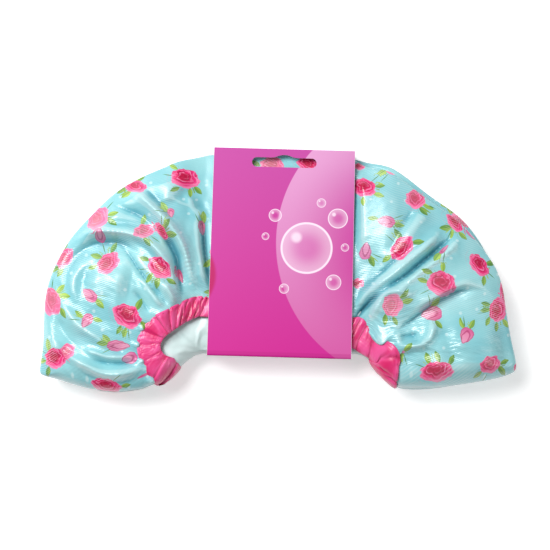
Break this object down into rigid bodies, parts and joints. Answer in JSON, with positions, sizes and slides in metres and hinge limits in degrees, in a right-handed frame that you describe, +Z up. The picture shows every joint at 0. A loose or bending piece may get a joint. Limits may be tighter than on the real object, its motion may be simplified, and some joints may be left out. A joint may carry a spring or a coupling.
{
  "type": "shower cap in a card sleeve",
  "caption": "Elasticated satin shower cap with a waterproof lining and a bound mouth, folded in half and held flat by a folded card sleeve with a hang slot.",
  "frame": {"origin": "under the middle of the whole object's bounding box, on the surface that it lies on", "axes": "+Z up out of the card's front, +X along the cap's fold line, +Y from the fold towards the cap's outer edge and the hang slot"},
  "size_m": [0.312, 0.1634, 0.0383],
  "materials": {
    "printed_satin": "turquoise satin with a scattered print of roses",
    "lining_film": "thin, pale, slightly clear film",
    "binding_satin": "hot pink satin tape, gathered",
    "elastic": "woven white elastic",
    "coated_card": "coated card, printed magenta, white core at the cut edges"
  },
  "bodies": {
    "cap": {"outer_shell": "printed_satin", "waterproof_lining": "lining_film", "rim_binding": "binding_satin", "elastic_band": "elastic"},
    "sleeve": {"card_sleeve": "coated_card"}
  },
  "joints": [
    {"name": "sleeve_slide", "type": "slide", "parent": "cap", "child": "sleeve", "axis": [0.9996, -0.0279, 0], "range_m": [-0.22, 0.22], "deforming": ["outer_shell", "waterproof_lining", "rim_binding", "elastic_band"]}
  ]
}
